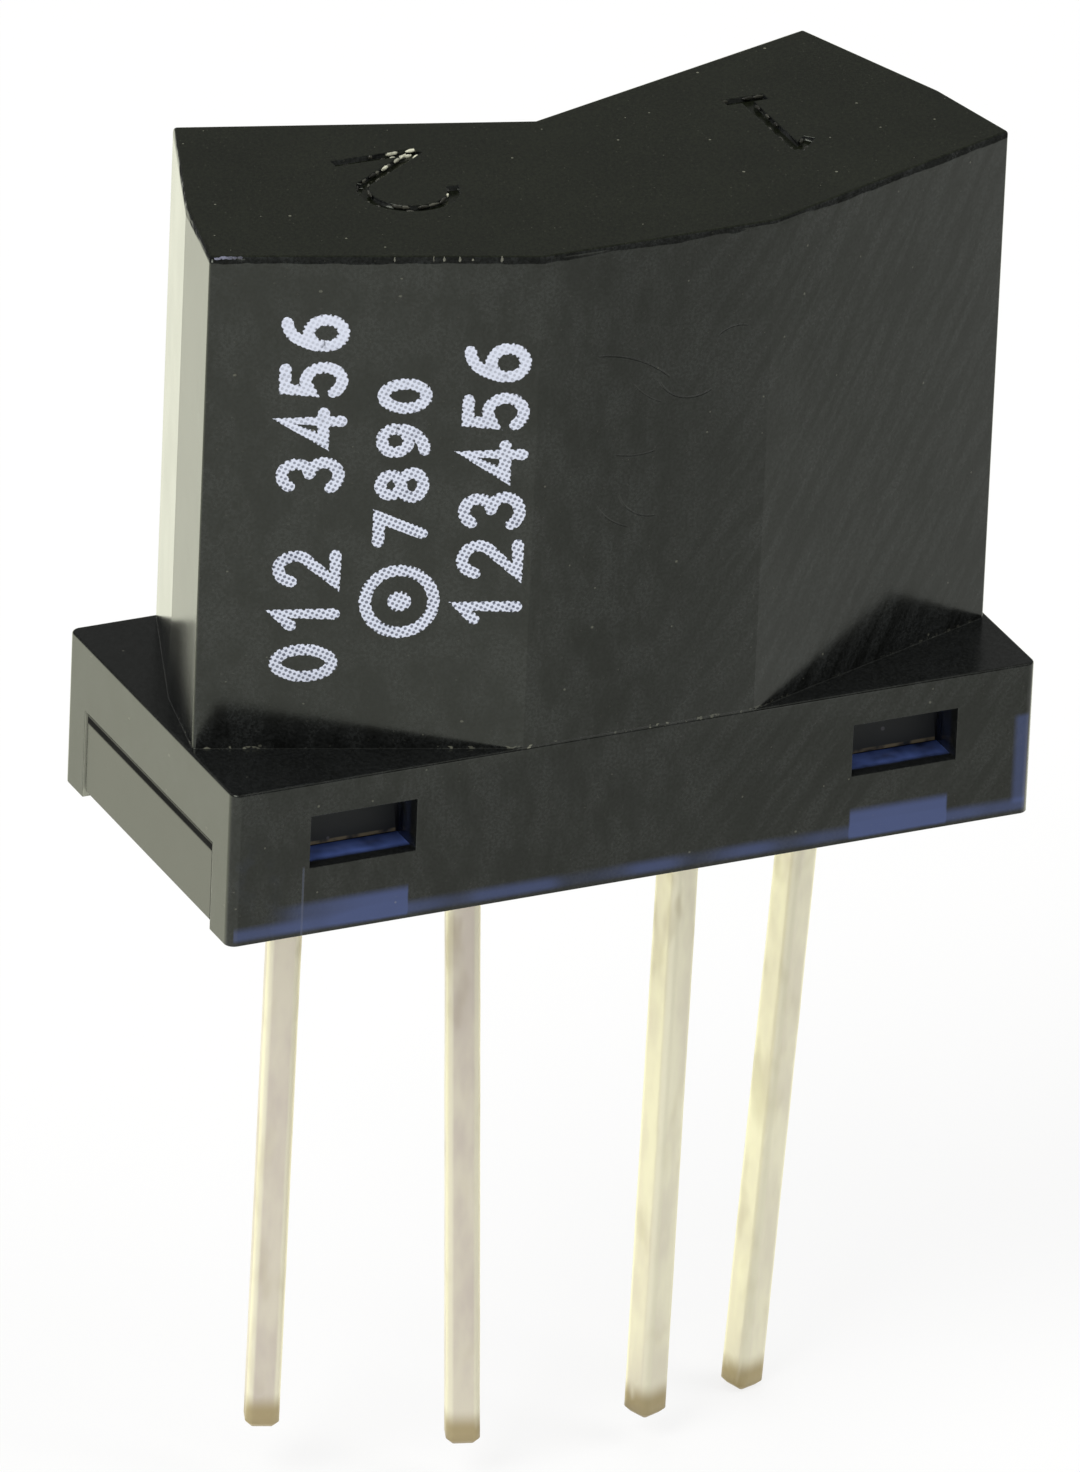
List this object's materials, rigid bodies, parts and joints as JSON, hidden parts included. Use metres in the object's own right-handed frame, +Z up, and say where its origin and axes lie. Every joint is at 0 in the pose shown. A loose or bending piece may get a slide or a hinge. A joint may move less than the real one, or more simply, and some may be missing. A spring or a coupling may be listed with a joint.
{
  "type": "reflective optical sensor",
  "caption": "Board-mounted reflective optical sensor: dark chevron tower on a flange, square leads below, with an emitter and a detector inside whose axes meet in front.",
  "frame": {"origin": "middle of the flange's underside, in the plane of the board it seats on", "axes": "+Z up out of the board through the tower, +X along the flange towards the emitter's wing, +Y towards the sensing side, where the tower is concave"},
  "size_m": [0.0126, 0.0058, 0.0206],
  "materials": {
    "housing_plastic": "glossy, infrared-passing, near black and blue where it is thin",
    "carrier_plastic": "opaque black, satin",
    "emitter_resin": "clear pale epoxy",
    "detector_resin": "dark infrared-filtering epoxy",
    "tinned_lead": "hot-tinned, matte",
    "emitter_chip": "bare semiconductor",
    "detector_chip": "bare semiconductor",
    "gold_wire": "bright gold"
  },
  "bodies": {
    "root": {"housing": "housing_plastic", "carrier": "carrier_plastic", "emitter_package": "emitter_resin", "detector_package": "detector_resin", "emitter_anode_lead": "tinned_lead", "emitter_cathode_lead": "tinned_lead", "detector_collector_lead": "tinned_lead", "detector_emitter_lead": "tinned_lead", "emitter_die": "emitter_chip", "detector_die": "detector_chip", "emitter_bond_wire": "gold_wire", "detector_bond_wire": "gold_wire"}
  },
  "joints": []
}
